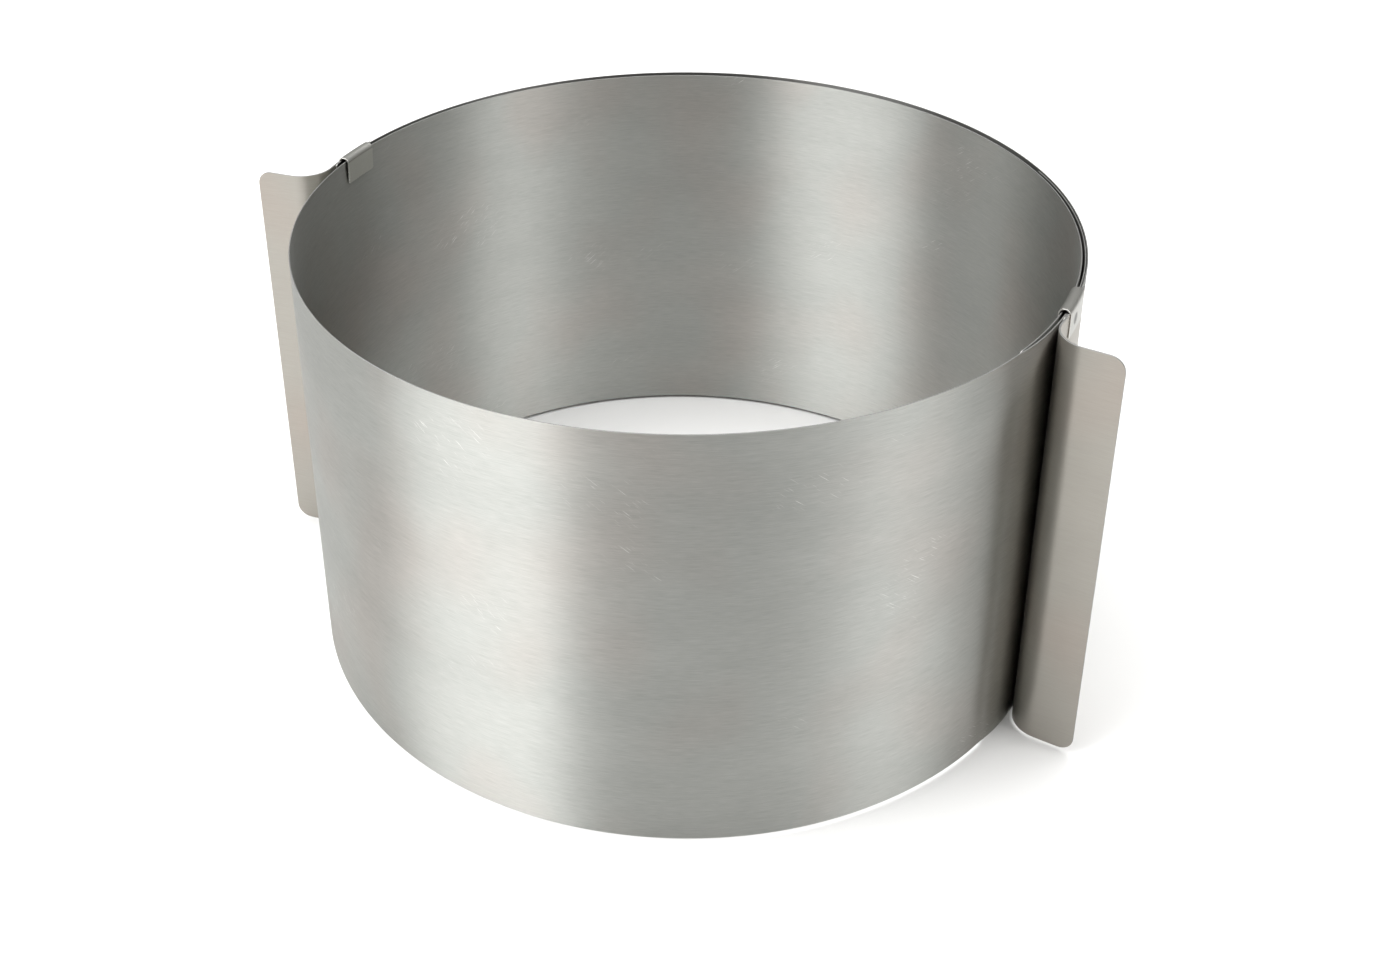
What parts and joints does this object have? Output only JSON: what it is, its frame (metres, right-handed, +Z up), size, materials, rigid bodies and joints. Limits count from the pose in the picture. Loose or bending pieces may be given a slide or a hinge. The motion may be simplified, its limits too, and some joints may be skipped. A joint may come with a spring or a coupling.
{
  "type": "adjustable cake ring",
  "caption": "Tall round cake ring of overlapping springy steel bands, held together by folded rim clips, with bent side grips for opening and closing it.",
  "frame": {"origin": "where the ring's axis meets the surface that the ring stands on", "axes": "+Z up along the ring's axis, +X to the right handle, +Y to the back of the ring, where the bands overlap"},
  "size_m": [0.3084, 0.2641, 0.1524],
  "materials": {
    "inner_band_steel": "brushed along the band",
    "outer_band_steel": "brushed along the band",
    "handle_steel": "satin",
    "clip_steel": "satin, burnished on the fold"
  },
  "bodies": {
    "outer_ring": {"outer_band": "outer_band_steel", "left_handle": "handle_steel", "right_handle": "handle_steel", "left_top_clip": "clip_steel", "left_bottom_clip": "clip_steel", "right_top_clip": "clip_steel", "right_bottom_clip": "clip_steel"},
    "inner_band": {"inner_band": "inner_band_steel"}
  },
  "joints": [
    {"name": "inner_band_slide", "type": "hinge", "parent": "outer_ring", "child": "inner_band", "pos_m": [0, 0, 0], "axis": [0, 0, 1], "range_deg": [-37, 12]}
  ]
}
